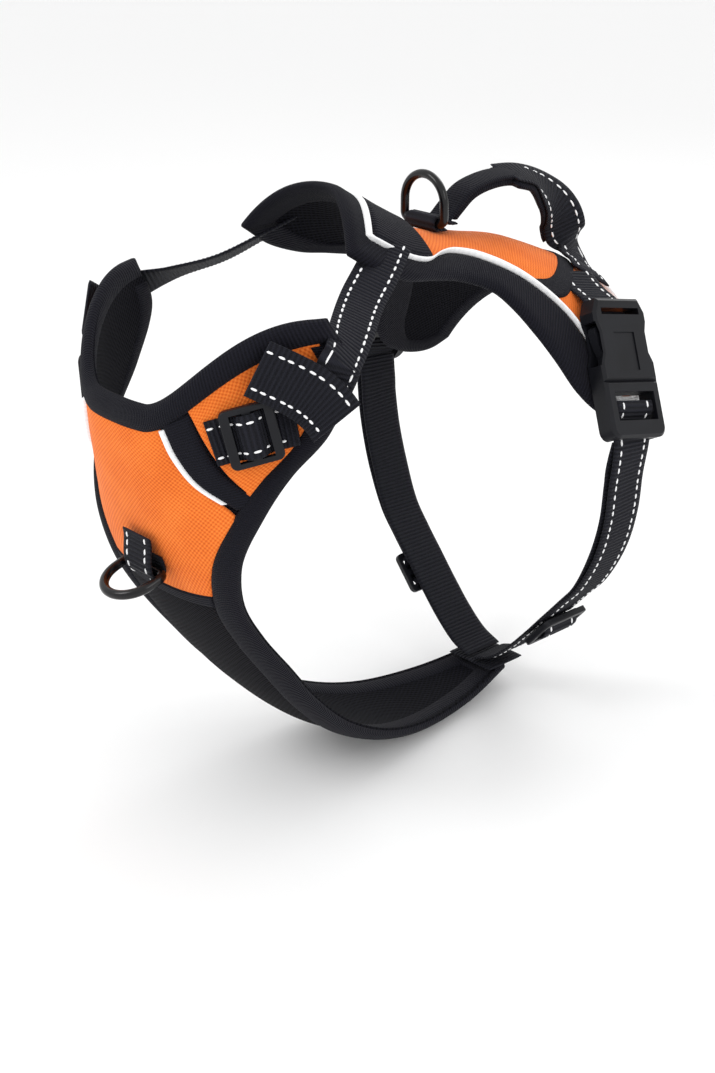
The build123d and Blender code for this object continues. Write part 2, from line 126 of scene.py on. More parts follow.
def form(angle, y):
    """The back at Y: angle in degrees from the spine."""
    t = (y - FORM_START) / FORM_LENGTH
    height = smooth([(value,) for value in SPINE], t)[0]
    half = smooth([(value,) for value in FLANK], t)[0]
    return Vector((half * math.sin(math.radians(angle)), y, height * math.cos(math.radians(angle))))


def spot(rows, u, v):
    """Angle and Y on the back form of a place on the cover or the pad."""
    spine_y, angle, edge_y = smooth(rows, v)
    sweep = (math.hypot(u, SPINE_ROUND) - SPINE_ROUND) / (math.hypot(1, SPINE_ROUND) - SPINE_ROUND)
    return u * angle, spine_y + (edge_y - spine_y) * sweep


def cover(u, v):
    return form(*spot(COVER_ROWS, u, v))


def pad(u, v):
    return form(*spot(PAD_ROWS, u, v))


# how far either side of a place its normal is measured
STEPS = {chest: 0.004, cover: 0.004, pad: 0.004, form: 0.5}


def normal_at(surface, u, v):
    h = STEPS[surface]
    across = surface(u + h, v) - surface(u - h, v)
    if surface is form:
        along = surface(u, v + h) - surface(u, v - h)
    else:
        along = surface(u, min(v + h, 1)) - surface(u, max(v - h, 0))
    normal = along.cross(across) if surface is chest else across.cross(along)
    return normal.normalized()


def lifted(surface, u, v, lift):
    return surface(u, v) + normal_at(surface, u, v) * lift


def step(at, start, width, stride):
    """The parameter that lies a width, in millimetres, from start along the curve at(parameter)."""
    place = start
    left = width
    while True:
        length = (at(place) - at(place + stride)).length
        if length >= left:
            return place + stride * left / length
        left -= length
        place += stride


def step_u(surface, v, width, start=1.0):
    return step(lambda u: surface(u, v), start, width, -0.01)


def step_v(surface, u, width, start, way):
    return step(lambda v: surface(u, v), start, width, 0.004 * way)


# ---- materials ----
def new_material(name, colour, roughness, sheen=0.0, coat=0.0, specular=0.5):
    material = bpy.data.materials.new(name)
    material.use_nodes = True
    shader = material.node_tree.nodes["Principled BSDF"]
    shader.inputs["Base Color"].default_value = (*colour, 1)
    shader.inputs["Roughness"].default_value = roughness
    shader.inputs["Specular IOR Level"].default_value = specular
    if sheen:
        shader.inputs["Sheen Weight"].default_value = sheen
        shader.inputs["Sheen Roughness"].default_value = 0.4
    if coat:
        shader.inputs["Coat Weight"].default_value = coat
        shader.inputs["Coat Roughness"].default_value = 0.08
    return material, shader


class Nodes:
    """Short ways to add and join shader nodes."""

    def __init__(self, material):
        self.tree = material.node_tree

    def add(self, kind, **settings):
        node = self.tree.nodes.new(kind)
        for key, value in settings.items():
            setattr(node, key, value)
        return node

    def put(self, value, socket):
        if isinstance(value, (int, float)):
            socket.default_value = value
        elif isinstance(value, tuple):
            socket.default_value = value
        else:
            self.tree.links.new(value, socket)

    def math(self, operation, a, b=0.0, c=0.0):
        node = self.add("ShaderNodeMath", operation=operation)
        self.put(a, node.inputs[0])
        self.put(b, node.inputs[1])
        self.put(c, node.inputs[2])
        return node.outputs[0]

    def cloth(self):
        """Distances along and across the cloth, in millimetres."""
        node = self.add("ShaderNodeAttribute", attribute_name="cloth")
        parts = self.add("ShaderNodeSeparateXYZ")
        self.put(node.outputs["Vector"], parts.inputs[0])
        return parts.outputs[0], parts.outputs[1]

    def wave(self, distance, period, phase=0.0):
        """A wave from 0 to 1 with the given period."""
        turned = self.math("MULTIPLY_ADD", distance, 2 * math.pi / period, phase)
        return self.math("MULTIPLY_ADD", self.math("SINE", turned), 0.5, 0.5)

    def noise(self, vector, scale, detail=3.0):
        node = self.add("ShaderNodeTexNoise")
        if vector is None:
            vector = self.add("ShaderNodeTexCoord").outputs["Object"]
        self.put(vector, node.inputs["Vector"])
        node.inputs["Scale"].default_value = scale
        node.inputs["Detail"].default_value = detail
        return node.outputs["Fac"]

    def ramp(self, fac, stops):
        node = self.add("ShaderNodeValToRGB")
        elements = node.color_ramp.elements
        for i, (place, colour) in enumerate(stops):
            element = elements[i] if i < 2 else elements.new(place)
            element.position = place
            element.color = (*colour, 1)
        self.put(fac, node.inputs[0])
        return node.outputs[0]

    def bump(self, height, strength, distance, under=None):
        node = self.add("ShaderNodeBump")
        node.inputs["Strength"].default_value = strength
        node.inputs["Distance"].default_value = distance
        self.put(height, node.inputs["Height"])
        if under is not None:
            self.put(under, node.inputs["Normal"])
        return node.outputs[0]


BUNDLE = 2.1             # from one bundle of orange yarn to the next but one


def orange_cloth():
    """Woven polyester: a basket weave of millimetre bundles, a little mottled, with painted shade where the
    weave sinks.
    """
    material, shader = new_material("orange_oxford", (0.86, 0.2, 0.03), 0.85, sheen=0.08, specular=0.2)
    n = Nodes(material)
    along, across = n.cloth()
    warp = n.wave(along, BUNDLE)
    weft = n.wave(across, BUNDLE)
    over = n.math("MULTIPLY", n.math("SUBTRACT", warp, 0.5), n.math("SUBTRACT", weft, 0.5))
    weave = n.math("MULTIPLY_ADD", over, 2.0, 0.5)
    mottle = n.noise(None, 60.0)
    fuzz = n.noise(None, 1500.0)
    # colour: painted shade in the weave's low spots, plus random mottle and fuzz
    relief_shade_and_tone = n.math("ADD", n.math("MULTIPLY", weave, 0.5), n.math("MULTIPLY", mottle, 0.35))
    relief_shade_and_tone = n.math("MULTIPLY_ADD", fuzz, 0.2, relief_shade_and_tone)
    shades = [(0.2, (0.56, 0.09, 0.01)), (0.5, (0.8, 0.165, 0.02)), (0.85, (0.93, 0.26, 0.045))]
    colour = n.ramp(relief_shade_and_tone, shades)
    n.put(colour, shader.inputs["Base Color"])
    height = n.math("MULTIPLY_ADD", fuzz, 0.3, weave)
    n.put(n.bump(height, 0.55, 0.00035), shader.inputs["Normal"])
    return material


def ribbed(name, dark, light, period, depth, roughness, sheen, fine):
    """Black knit or webbing with ribs across it; period and fine are the ribs' and the yarns' spacing. Its
    colour carries painted shade in the grooves, with random fuzz.
    """
    material, shader = new_material(name, light, roughness, sheen=sheen, specular=0.14)
    n = Nodes(material)
    along, across = n.cloth()
    drift = n.math("MULTIPLY", n.noise(None, 90.0), 0.5)
    ribs = n.wave(n.math("ADD", along, drift), period)
    yarn = n.wave(across, fine)
    fuzz = n.noise(None, 1400.0)
    height = n.math("MULTIPLY_ADD", yarn, 0.3, ribs)
    height = n.math("MULTIPLY_ADD", fuzz, 0.5, height)
    # colour: painted shade in the grooves and painted light on the rib tops, plus random fuzz
    groove_shade_and_fuzz = n.math("MULTIPLY_ADD", fuzz, 0.5, n.math("MULTIPLY", height, 0.45))
    n.put(n.ramp(groove_shade_and_fuzz, [(0.15, dark), (0.85, light)]), shader.inputs["Base Color"])
    n.put(n.bump(height, 0.8, depth), shader.inputs["Normal"])
    return material


def mesh_cloth(name, hole, light, dark):
    """Air mesh: rows of small holes set like bricks, with painted shade in the holes."""
    material, shader = new_material(name, light, 0.9, sheen=0.02, specular=0.07)
    n = Nodes(material)
    along, across = n.cloth()
    first = n.math("MULTIPLY", n.wave(along, hole), n.wave(across, hole))
    second = n.math("MULTIPLY", n.wave(along, hole, math.pi), n.wave(across, hole, math.pi))
    holes = n.math("MAXIMUM", first, second)
    solid = n.math("SUBTRACT", 1.0, n.math("SMOOTH_MIN", holes, 1.0, 0.1))
    fuzz = n.noise(None, 1600.0)
    height = n.math("MULTIPLY_ADD", fuzz, 0.3, solid)
    # painted shade: the holes take the dark colour
    n.put(n.ramp(solid, [(0.2, dark), (0.75, light)]), shader.inputs["Base Color"])
    n.put(n.bump(height, 0.8, 0.0004), shader.inputs["Normal"])
    return material


def white_trim(name, roughness, ripple):
    """White thread or tape, lightly rippled along its length, with the ripple also painted into its colour as
    shade, beside random grain.
    """
    material, shader = new_material(name, (0.86, 0.87, 0.88), roughness, specular=0.6)
    n = Nodes(material)
    along = n.cloth()[0]
    twist = n.wave(along, ripple)
    grain = n.noise(None, 700.0)
    # colour: painted shade along the twist ripple, plus random grain
    relief_shade_and_tone = n.math("MULTIPLY_ADD", twist, 0.3, n.math("MULTIPLY", grain, 0.7))
    shades = [(0.1, (0.84, 0.85, 0.87)), (0.6, (0.96, 0.96, 0.965))]
    n.put(n.ramp(relief_shade_and_tone, shades), shader.inputs["Base Color"])
    n.put(n.bump(n.math("ADD", twist, grain), 0.3, 0.0001), shader.inputs["Normal"])
    return material


def moulded_plastic():
    material, shader = new_material("moulded_nylon", (0.005, 0.0052, 0.0075), 0.4, specular=0.24)
    n = Nodes(material)
    grain = n.noise(None, 2400.0, 2.0)
    cloudy = n.noise(None, 55.0)
    shades = [(0.3, (0.003, 0.0032, 0.005)), (0.7, (0.007, 0.0075, 0.0105))]
    n.put(n.ramp(cloudy, shades), shader.inputs["Base Color"])
    n.put(n.math("MULTIPLY_ADD", cloudy, 0.18, 0.34), shader.inputs["Roughness"])
    n.put(n.bump(grain, 0.25, 0.00012), shader.inputs["Normal"])
    return material


def coated_steel():
    material, shader = new_material("coated_steel", (0.003, 0.003, 0.0038), 0.28, coat=0.12, specular=0.3)
    n = Nodes(material)
    scuffs = n.noise(None, 420.0)
    shades = [(0.35, (0.002, 0.002, 0.003)), (0.8, (0.006, 0.006, 0.007))]
    n.put(n.ramp(scuffs, shades), shader.inputs["Base Color"])
    n.put(n.math("MULTIPLY_ADD", scuffs, 0.2, 0.12), shader.inputs["Roughness"])
    n.put(n.bump(n.noise(None, 160.0), 0.06, 0.0003), shader.inputs["Normal"])
    return material


RIB = 2.1                # from one rib of the webbing to the next
RIB_DEPTH = 0.14

ORANGE = orange_cloth()
# for knit and webbing, the dark colour is painted shade in the grooves, mixed with random fuzz
KNIT = ribbed("knit_binding", (0.0015, 0.0015, 0.0028), (0.0085, 0.0085, 0.0145), period=1.25, depth=0.0005,
              roughness=0.82, sheen=0.03, fine=0.9)
WEBBING = ribbed("ribbed_webbing", (0.001, 0.001, 0.002), (0.012, 0.0125, 0.019), period=RIB, depth=0.0006,
                 roughness=0.64, sheen=0.02, fine=0.7)
# for both meshes, the dark colour is painted shade in the holes
LINING = mesh_cloth("lining_mesh", 2.6, (0.006, 0.006, 0.0095), (0.001, 0.001, 0.0016))
OPEN_MESH = mesh_cloth("open_mesh", 3.2, (0.0075, 0.007, 0.010), (0.001, 0.001, 0.0016))
THREAD = white_trim("white_thread", 0.5, 0.8)
PIPE = white_trim("reflective_tape", 0.35, 3.0)
PLASTIC = moulded_plastic()
STEEL = coated_steel()


# ---- mesh pieces ----
def mesh_piece(name, points, faces, material, cloth, body=ROOT, mirrored=False):
    if mirrored:
        points = [(-x, y, z) for x, y, z in points]
        faces = [tuple(reversed(face)) for face in faces]
    mesh = bpy.data.meshes.new(name)
    mesh.from_pydata([(x * MM, y * MM, z * MM) for x, y, z in points], [], faces)
    mesh.materials.append(material)
    flat = mesh.attributes.new("cloth", "FLOAT_VECTOR", "POINT")
    flat.data.foreach_set("vector", [value for place in cloth for value in place])
    mesh.polygons.foreach_set("use_smooth", [True] * len(faces))
    mesh.update()
    piece = bpy.data.objects.new(name, mesh)
    bpy.context.scene.collection.objects.link(piece)
    if body:
        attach(piece, body)
    return piece


RIM_SHARE = 2.2          # a rim reaches at most this part of the way across


def spread(count, length, edge):
    """Shares from 0 to 1, closer together within edge of both ends."""
    rim = [edge * k for k in (0.0, 0.04, 0.16, 0.4, 0.7)]
    inner = [edge + (length - 2 * edge) * k / count for k in range(count + 1)]
    places = rim + inner + [length - place for place in reversed(rim)]
    return [place / length for place in places]


def rounded(distance, edge):
    """Height of a quarter-round rim, from 0 at the rim to 1 at edge and beyond."""
    if distance >= edge:
        return 1.0
    left = 1 - distance / edge
    return math.sqrt(max(0.0, 1 - left * left))


def measure(surface, spots):
    """Distances along a surface from the first of its spots to each one."""
    total = [0.0]
    for a, b in zip(spots, spots[1:]):
        total.append(total[-1] + (surface(*b) - surface(*a)).length)
    return total


def panel_faces(rows, columns, upper, under, loop):
    """Faces over the top and the underside, which share the points of the rim."""
    faces = []
    for i in range(rows if loop else rows - 1):
        n = (i + 1) % rows
        for j in range(columns - 1):
            face = (upper[i, j], upper[n, j], upper[n, j + 1], upper[i, j + 1])
            back = (under[i, j + 1], under[n, j + 1], under[n, j], under[i, j])
            faces.append(face)
            if len(set(back)) > 2 and back != tuple(reversed(face)):
                faces.append(back)
    return faces


def panel(name, surface, place, layer, material, size=(3.0, 3.0), edge=1.0, swell=0.0, wrap=False,
          loop=False, mirrored=False, relief=None):
    """A sewn panel or strip: place(s, t) gives the surface parameters, layer its lowest and highest height,
    size the spacing of its points along and across, edge how far its rounded rim reaches."""
    long = measure(surface, [place(i / 40, 0.5) for i in range(41)])[-1]
    wide = measure(surface, [place(0.5, i / 20) for i in range(21)])[-1]
    edge_t = min(edge, wide / RIM_SHARE)
    edge_s = min(edge, long / RIM_SHARE)
    rows = round(long / size[0])
    if loop:
        shares_s = [k / rows for k in range(rows)]
    else:
        shares_s = spread(max(2, rows), long, edge_s)
    shares_t = spread(max(2, round(wide / size[1])), wide, edge_t)
    rows = len(shares_s)
    columns = len(shares_t)
    low, high = layer
    centre = (low + high) / 2 if wrap else low
    tall = high - centre
    points = []
    cloth = []
    upper = {}
    under = {}
    for i, s in enumerate(shares_s):
        spots = [place(s, t) for t in shares_t]
        across = measure(surface, spots)
        for j, (t, (u, v), far) in enumerate(zip(shares_t, spots, across)):
            rim = rounded(min(far, across[-1] - far), min(edge_t, across[-1] / RIM_SHARE))
            dome = swell * 4 * t * (1 - t)
            if not loop:
                rim = min(rim, rounded(min(s, 1 - s) * long, edge_s))
                dome *= 4 * s * (1 - s)
            if relief:
                dome += relief(s * long, far - across[-1] / 2) * rim
            here = surface(u, v)
            out = normal_at(surface, u, v)
            upper[i, j] = len(points)
            under[i, j] = len(points)
            points.append(tuple(here + out * (centre + tall * rim + dome * rim)))
            cloth.append((s * long, far - across[-1] / 2, 0))
            if 0 < j < columns - 1 and (loop or 0 < i < rows - 1):
                under[i, j] = len(points)
                points.append(tuple(here + out * (centre - (tall * rim if wrap else 0))))
                cloth.append(cloth[-1])
    faces = panel_faces(rows, columns, upper, under, loop)
    area = 0.0
    for i in range(rows if loop else rows - 1):
        for j in range(columns - 1):
            n = (i + 1) % rows
            a, b, c, d = (Vector(points[upper[k]]) for k in ((i, j), (n, j), (n, j + 1), (i, j + 1)))
            area += (c - a).cross(d - b).length / 2
    i, j = rows // 2, columns // 2
    a, b, d = (Vector(points[upper[k]]) for k in ((i, j), ((i + 1) % rows, j), (i, j + 1)))
    facing = (b - a).cross(d - a).dot(normal_at(surface, *place(shares_s[i], shares_t[j])))
    if facing < 0:
        faces = [tuple(reversed(face)) for face in faces]
    piece = mesh_piece(name, points, faces, material, cloth, mirrored=mirrored)
    piece["flat_mm"] = [wide, long, area]
    return piece


def pair(make, name, *rest, **settings):
    """The left piece and its mirrored right twin."""
    left = make(f"{name}_left", *rest, **settings)
    return [left, make(f"{name}_right", *rest, mirrored=True, **settings)]


def stands_for(pieces, *nodes):
    """Each side's piece replaces that side's CAD nodes."""
    for piece, side in zip(pieces, ("left", "right")):
        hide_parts(*[f"{node}_{side}" for node in nodes])


# ---- webbing ----
def reach(route):
    """Distances along a route to each of its points."""
    total = [0.0]
    for p, q in zip(route, route[1:]):
        total.append(total[-1] + math.dist(p[:3], q[:3]))
    return total


def travel(route, t):
    """A smooth curve through unevenly spaced points, with t from 0 to 1 by distance."""
    total = reach(route)
    wanted = min(max(t, 0), 1) * total[-1]
    i = max(k for k in range(len(route) - 1) if total[k] <= wanted)
    span = total[i + 1] - total[i]
    f = (wanted - total[i]) / span

    def slope(k):
        low = max(k - 1, 0)
        high = min(k + 1, len(route) - 1)
        return [(b - a) / (total[high] - total[low]) for a, b in zip(route[low], route[high])]
    bend = f * f * (3 - 2 * f)
    return [p * (1 - bend) + q * bend + span * (m * f * (1 - f) ** 2 - w * f * f * (1 - f))
            for p, q, m, w in zip(route[i], route[i + 1], slope(i), slope(i + 1))]


DASH = 2.9               # length of a reflective stitch
DASH_PITCH = 4.5
DASH_INSET = 0.33        # from the middle of the webbing, as a share of its width
DASH_RINGS = 7
DASH_SIDES = 8
THREAD_RADIUS = 0.55
STRAP_CELLS = 14         # across the webbing
STRAP_RIM = 0.9          # how far its rounded edges reach
STRAP_END = 0.8
RIBBED_STEP = 0.52       # from one ring of points to the next
PLAIN_STEP = 1.5


def frames(route, count):
    """Evenly spaced places on a route: centre, the way across the webbing and the way out of it."""
    found = []
    for i in range(count):
        t = i / (count - 1)
        here = travel(route, t)
        ahead = travel(route, min(t + 0.004, 1))
        behind = travel(route, max(t - 0.004, 0))
        tangent = (Vector(ahead[:3]) - Vector(behind[:3])).normalized()
        side = tangent.cross(Vector(here[3:])).normalized()
        found.append((Vector(here[:3]), side, side.cross(tangent)))
    return found


def tube_faces(rings, size, closed=False, first=0):
    """Faces round a tube with its points numbered ring by ring from first; the ends are capped or joined."""
    faces = []
    for i in range(rings if closed else rings - 1):
        here = first + i * size
        ahead = first + (i + 1) % rings * size
        for k in range(size):
            n = (k + 1) % size
            faces.append((here + k, ahead + k, ahead + n, here + n))
    if not closed:
        last = first + (rings - 1) * size
        faces.append(tuple(range(first, first + size)))
        faces.append(tuple(reversed(range(last, last + size))))
    return faces


def strap(name, route, width, layer=(0, WEB), body=ROOT, mirrored=False, dashes=True, material=None,
          ribs=True, puff=0.0):
    """Webbing along (x, y, z, normal x, normal y, normal z) points, with its reflective stitches."""
    long = reach(route)[-1]
    count = max(6, round(long / (RIBBED_STEP if ribs else PLAIN_STEP)))
    path = frames(route, count)
    low, high = layer
    middle = (low + high) / 2
    half = (high - low) / 2
    ring = [(-1 + 2 * k / STRAP_CELLS, 1) for k in range(STRAP_CELLS + 1)]
    ring += [(-x, -1) for x, face in ring]
    points = []
    cloth = []
    for i, (centre, side, out) in enumerate(path):
        s = i * long / (count - 1)
        end = rounded(min(s, long - s), STRAP_END) * 0.9 + 0.1
        rib = RIB_DEPTH * math.cos(2 * math.pi * s / RIB) if ribs else 0
        for x, face in ring:
            rim = rounded((1 - abs(x)) * width / 2 + 0.12, STRAP_RIM)
            high_here = (half + rib * (rim > 0.99) + puff * (1 - x * x)) * rim * end
            points.append(tuple(centre + side * (x * width / 2) + out * (middle + face * high_here)))
            cloth.append((s, x * width / 2, face))
    faces = tube_faces(count, len(ring))
    a, b, d = (Vector(points[k]) for k in (7, 8, len(ring) + 7))
    if (b - a).cross(d - a).dot(path[0][2]) > 0:
        faces = [tuple(reversed(face)) for face in faces]
    found = [mesh_piece(name, points, faces, material or WEBBING, cloth, body=body, mirrored=mirrored)]
    if dashes:
        found.append(stitches(f"{name}_thread", route, width, high, body, mirrored))
    return found


def stitches(name, route, width, lift, body=ROOT, mirrored=False):
    """Raised stitches along both edges of a strap, a little unevenly spaced."""
    long = reach(route)[-1]
    number = max(1, int((long - 1.0) / DASH_PITCH))
    path = frames(route, max(12, number * 6))
    points = []
    faces = []
    cloth = []

    def at(s):
        place = min(max(s / long, 0), 1) * (len(path) - 1)
        i = min(int(place), len(path) - 2)
        f = place - i
        return [p.lerp(q, f) for p, q in zip(path[i], path[i + 1])]
    for line in (-1, 1):
        for k in range(number):
            start = 0.8 + k * DASH_PITCH + 0.37 * math.sin(k * 2.4 + line)
            faces += tube_faces(DASH_RINGS, DASH_SIDES, first=len(points))
            for ring in range(DASH_RINGS):
                x = -1 + 2 * ring / (DASH_RINGS - 1)
                fat = THREAD_RADIUS * math.sqrt(max(0.02, 1 - abs(x) ** 3))
                centre, side, out = at(start + DASH * (x + 1) / 2)
                middle = centre + side * (line * DASH_INSET * width) + out * lift
                for turn in range(DASH_SIDES):
                    angle = turn * 2 * math.pi / DASH_SIDES
                    offset = side * (math.cos(angle) * fat) + out * (math.sin(angle) * 0.8 * fat)
                    points.append(tuple(middle + offset))
                    cloth.append((start + x, angle, 0))
    return mesh_piece(name, points, faces, THREAD, cloth, body=body, mirrored=mirrored)


def station(point, out):
    return (point.x, point.y, point.z, out.x, out.y, out.z)


def on_surface(surface, u, v, lift):
    return station(lifted(surface, u, v, lift), normal_at(surface, u, v))


# ---- chest bib ----
NECK_BINDING_WIDTH = 12.0
ARMHOLE_BINDING_WIDTH = 14.0
BAND_WIDTH = 12.0
BAND_END = 0.236         # where the bands and piping end, down the bib
WING_TOP = 0.066
HEM = 0.41               # where the orange cloth meets the belly mesh
BELLY_END = 0.968


def cached(function):
    known = {}

    def ask(value):
        key = round(value, 5)
        if key not in known:
            known[key] = function(value)
        return known[key]
    return ask


@cached
def piping_u(v):
    return smooth([(0.335,), (0.375,), (0.44,), (0.58,), (0.84,)], v / 0.26)[0]


@cached
def neck_edge(u):
    return step_v(chest, u, NECK_BINDING_WIDTH, 0.0, 1)


@cached
def armhole_edge(v):
    return step_u(chest, v, ARMHOLE_BINDING_WIDTH)


def band_outer(v):
    u = piping_u(v)
    return u + 0.05 * BAND_WIDTH / (chest(u + 0.05, v) - chest(u, v)).length


def centre_half(v):
    blend = min(max((v - BAND_END - 0.004) / 0.03, 0), 1)
    return (piping_u(min(v, BAND_END)) - 0.01) * (1 - blend) + (armhole_edge(v) + 0.01) * blend


def neck_spot(s, t):
    u = 2 * s - 1
    return (u, neck_edge(u) * t)


def armhole_spot(s, t):
    v = 0.03 + (BELLY_END + 0.02 - 0.03) * s
    inner = armhole_edge(v) - 0.006
    return (inner + (1 - inner) * t, v)


def hem_spot(s, t):
    return (2 * t - 1, BELLY_END - 0.004 + 0.038 * s)


def band_spot(s, t):
    """The black band between the piping and the wing."""
    start = neck_edge(0.45) - 0.004
    v = start + (BAND_END + 0.02 - start) * s
    inner = piping_u(v)
    outer = min(band_outer(v), armhole_edge(v) + 0.03)
    return (inner + (outer - inner) * t, v)


def chest_piping_spot(s, t):
    start = neck_edge(0.35)
    v = start - 0.002 + (BAND_END + 0.006 - start) * s
    return (piping_u(v) - 0.004 + 0.03 * (t - 0.5), v)


def wing_spot(s, t):
    """From the band to the armhole binding, and down from the neck binding to the band's end."""
    row = WING_TOP * (1 - s) + BAND_END * s
    inner = min(band_outer(row) - 0.01, armhole_edge(row) - 0.02)
    outer = armhole_edge(row) + 0.02
    u = inner + (outer - inner) * t
    return (u, (neck_edge(u) - 0.004) * (1 - s) + BAND_END * s)


def centre_spot(s, t):
    start = neck_edge(0) - 0.006
    v = start + (HEM + 0.004 - start) * s
    return (centre_half(v) * (2 * t - 1), v)


def across_belly(v, t):
    return ((armhole_edge(v) + 0.01) * (2 * t - 1), v)


def bib_lining():
    lining = panel("bib_lining", chest, lambda s, t: ((2 * t - 1) * 0.985, 0.006 + 0.986 * s),
                   (-0.2, LINING_TOP), LINING, (4, 3), edge=3)
    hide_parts("chest_lining")


def bib_bindings():
    binding = panel("neck_binding_knit", chest, neck_spot, (-1.0, 6.0), KNIT, (1.8, 1.6), edge=5.5, wrap=True)
    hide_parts("neck_binding")
    sides = pair(panel, "armhole_binding_knit", chest, armhole_spot, (-1.0, 6.2), KNIT, (2.2, 1.6), edge=6.5,
                 wrap=True)
    stands_for(sides, "armhole_binding")
    hem = panel("belly_hem_knit", chest, hem_spot, (-0.6, 5.6), KNIT, (1.5, 1.6), edge=4, wrap=True)
    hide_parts("belly_hem")


def chest_cloths():
    bands = pair(panel, "chest_band_knit", chest, band_spot, (LINING_TOP, 5.0), KNIT, (2, 1.6), edge=3)
    stands_for(bands, "chest_band")
    tapes = pair(panel, "chest_piping_tape", chest, chest_piping_spot, (PIPING_BASE, 6.0), PIPE, (2, 0.6),
                 edge=1.1)
    stands_for(tapes, "chest_piping")
    wings = pair(panel, "chest_wing_cloth", chest, wing_spot, (LINING_TOP, 4.2), ORANGE, (2.5, 2.5), edge=0.8,
                 swell=0.5)
    stands_for(wings, "chest_wing")
    cloth = panel("chest_centre_cloth", chest, centre_spot, (LINING_TOP, CLOTH_TOP), ORANGE, (2.5, 2.5),
                  edge=0.8, swell=0.6)
    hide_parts("chest_cover")


def belly():
    panel("belly_seam_knit", chest, lambda s, t: across_belly(HEM - 0.004 + 0.022 * s, t), (3.4, 5.0), KNIT,
          (1.5, 2), edge=1.5)
    net = panel("belly_mesh", chest, lambda s, t: across_belly(HEM - 0.002 + (BELLY_END - HEM) * s, t),
                (LINING_TOP, 4.0), OPEN_MESH, (4, 3), edge=0.8, swell=0.5)
    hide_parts("belly_panel")


# ---- rings ----
FRONT_RING = Vector((4, -252.2, 17.8))
FRONT_RING_DROOP = 108.0
FRONT_RING_TALL = 20.7
FRONT_LOOP_TILT = 19.0
BACK_RING = Vector((0, -80.5, 145.6))
BACK_RING_TALL = 22.7


def d_ring(name, tall, place, body, node):
    """A D-ring of round wire, drawn as a tube round a closed path."""
    half = RING_WIDTH / 2
    corner = RING_CORNER
    straight = tall - half
    path = []

    def arc(centre_x, centre_z, radius, begin, cells, end):
        for k in range(cells):
            angle = begin + (end - begin) * k / cells
            path.append((centre_x + radius * math.cos(angle), centre_z + radius * math.sin(angle)))

    def line(start, end, cells):
        for k in range(cells):
            path.append(tuple(p + (q - p) * k / cells for p, q in zip(start, end)))
    line((corner - half, 0), (half - corner, 0), 8)
    arc(half - corner, corner, corner, -math.pi / 2, 6, 0)
    line((half, corner), (half, straight), 4)
    arc(0, straight, half, 0, 32, math.pi)
    line((-half, straight), (-half, corner), 4)
    arc(corner - half, corner, corner, math.pi, 6, 3 * math.pi / 2)
    points = []
    cloth = []
    number = len(path)
    sides = 20
    for i, (x, z) in enumerate(path):
        before = Vector(path[i - 1])
        after = Vector(path[(i + 1) % number])
        tangent = (after - before).normalized()
        side = Vector((tangent.y, 0, -tangent.x))
        for k in range(sides):
            angle = 2 * math.pi * k / sides
            offset = side * math.cos(angle) + Vector((0, 1, 0)) * math.sin(angle)
            points.append(tuple(place @ (Vector((x, 0, z)) + offset * RING_WIRE)))
            cloth.append((i, k, 0))
    faces = tube_faces(number, sides, closed=True)
    a, b, d = (Vector(points[k]) for k in (faces[0][0], faces[0][1], faces[0][3]))
    centre = place @ Vector((path[0][0], 0, path[0][1]))
    if (b - a).cross(d - a).dot(a - centre) < 0:
        faces = [tuple(reversed(face)) for face in faces]
    piece = mesh_piece(name, points, faces, STEEL, cloth, body=body)
    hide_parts(node)


def turned(place, degrees):
    return Matrix.Translation(place) @ Matrix.Rotation(math.radians(degrees), 4, "X")


def rings():
    front = turned(FRONT_RING, FRONT_RING_DROOP)
    d_ring("front_d_ring", FRONT_RING_TALL, front, "front_ring", "front_ring")
    back = turned(BACK_RING, 0)
    d_ring("back_d_ring", BACK_RING_TALL, back, "back_ring", "back_ring")


def ring_loops():
    loop_place = turned(FRONT_RING, FRONT_LOOP_TILT)
    route = [(17.5, 2.2), (14.0, 1.5), (9.5, -0.4), (5.5, -2.0), (2.2, -2.6), (-0.6, -2.4), (-2.1, -1.2),
             (-2.4, 0.4), (-1.2, 2.1), (1.5, 2.6), (6.0, 2.7)]
    outs = [(0.1, -1), (0.15, -1), (0.25, -1), (0.2, -1), (0.1, -1), (-0.3, -1), (-0.85, -0.5), (-1, 0.2),
            (-0.5, 0.9), (0, 1), (0, 1)]
    stations = []
    turn = loop_place.to_3x3()
    for (up, back), (rise, forward) in zip(route, outs):
        stations.append(station(loop_place @ Vector((0, back, up)), turn @ Vector((0, forward, rise))))
    web = strap("front_loop_web", stations, NARROW_WEB)[0]
    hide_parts("front_ring_loop")

    place = turned(BACK_RING, 0)
    route = [(13.0, -2.6), (8.0, -1.6), (3.5, 1.6), (1.2, 2.3), (-1.0, 2.2), (-2.2, 1.0), (-2.3, -0.8),
             (-1.2, -2.1), (1.5, -2.6), (6.0, -3.0)]
    outs = [(0.2, 1), (0.3, 1), (0.3, 1), (0.2, 1), (-0.5, 0.9), (-0.9, 0.4), (-0.9, -0.4), (-0.3, -1),
            (0, -1), (0, -1)]
    stations = []
    for (back, up), (forward, rise) in zip(route, outs):
        stations.append(station(place @ Vector((0, back, up)), Vector((0, forward, rise))))
    web = strap("back_loop_web", stations, NARROW_WEB, dashes=False)[0]
    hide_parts("back_ring_loop")


# ---- back ----
PIPING_STRETCH = 1.9     # millimetres to a degree on the back form, near enough
CHEVRON_ROUND = 0.1      # rounds the point of the rear band's V


def round_rim(s):
    """The place (u, v) that lies a share s of the way round the four edges of the cover or the pad."""
    leg = s * 4
    if leg < 1:
        return (-1 + 2 * leg, 0.0)
    if leg < 2:
        return (1.0, leg - 1)
    if leg < 3:
        return (1 - 2 * (leg - 2), 1.0)
    return (-1.0, 4 - leg)


